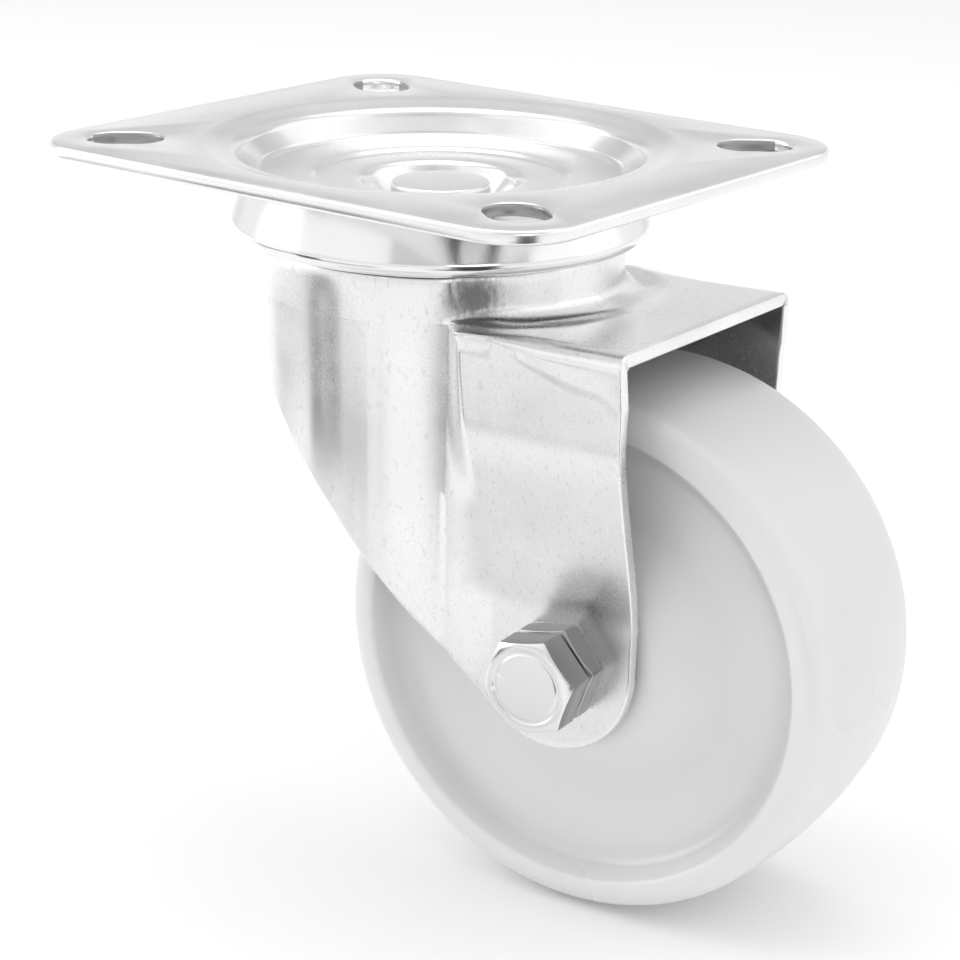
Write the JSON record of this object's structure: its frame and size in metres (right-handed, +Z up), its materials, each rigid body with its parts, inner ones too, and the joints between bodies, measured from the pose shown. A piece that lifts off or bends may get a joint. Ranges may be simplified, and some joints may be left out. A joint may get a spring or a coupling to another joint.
{
  "type": "swivel castor",
  "caption": "Swivel castor with a nylon wheel on a roller bearing in a pressed steel fork, under a rectangular top plate with diagonal slots.",
  "frame": {"origin": "centre of the top plate's upper face, on the swivel axis", "axes": "+Z up and out of the plate, along the swivel axis; +X along the plate's length, towards the side that the wheel trails on; +Y across the plate, away from the side with the bolt's head"},
  "size_m": [0.1194, 0.08, 0.1084],
  "materials": {
    "zinc_plate": "bright zinc plate",
    "zinc_race": "bright zinc plate",
    "zinc_pin": "bright zinc plate",
    "bearing_steel": "ground and oiled",
    "zinc_fork": "bright zinc plate",
    "zinc_bolt": "bright zinc plate",
    "zinc_nut": "dull zinc plate",
    "dark_plastic": "moulded",
    "white_nylon": "satin moulded nylon"
  },
  "bodies": {
    "plate": {"top_plate": "zinc_plate", "upper_race": "zinc_race", "lower_race": "zinc_race", "kingpin": "zinc_pin"},
    "swivel_balls": {"upper_balls": "bearing_steel", "lower_balls": "bearing_steel"},
    "fork": {"fork": "zinc_fork", "axle_bolt": "zinc_bolt", "jam_nut": "zinc_nut", "lock_nut": "zinc_nut", "axle_washer": "zinc_nut", "axle_sleeve": "bearing_steel", "thrust_ring_near": "dark_plastic", "thrust_ring_far": "dark_plastic"},
    "rollers": {"bearing_rollers": "bearing_steel", "roller_cage": "dark_plastic"},
    "wheel": {"wheel": "white_nylon"}
  },
  "joints": [
    {"name": "swivel", "type": "hinge", "parent": "plate", "child": "fork", "pos_m": [0, 0, 0], "axis": [0, 0, 1], "continuous": true},
    {"name": "ball_rings_turn", "type": "hinge", "parent": "plate", "child": "swivel_balls", "pos_m": [0, 0, -0.012], "axis": [0, 0, 1], "continuous": true},
    {"name": "wheel_spin", "type": "hinge", "parent": "fork", "child": "wheel", "pos_m": [0.03312, 0.00348, -0.0684], "axis": [-0.1045, 0.9945, 0], "continuous": true},
    {"name": "rollers_turn", "type": "hinge", "parent": "fork", "child": "rollers", "pos_m": [0.03312, 0.00348, -0.0684], "axis": [-0.1045, 0.9945, 0], "continuous": true}
  ],
  "couplings": [
    {"joint": "ball_rings_turn", "follows": "swivel", "ratio": 0.5},
    {"joint": "rollers_turn", "follows": "wheel_spin", "ratio": 0.6}
  ]
}
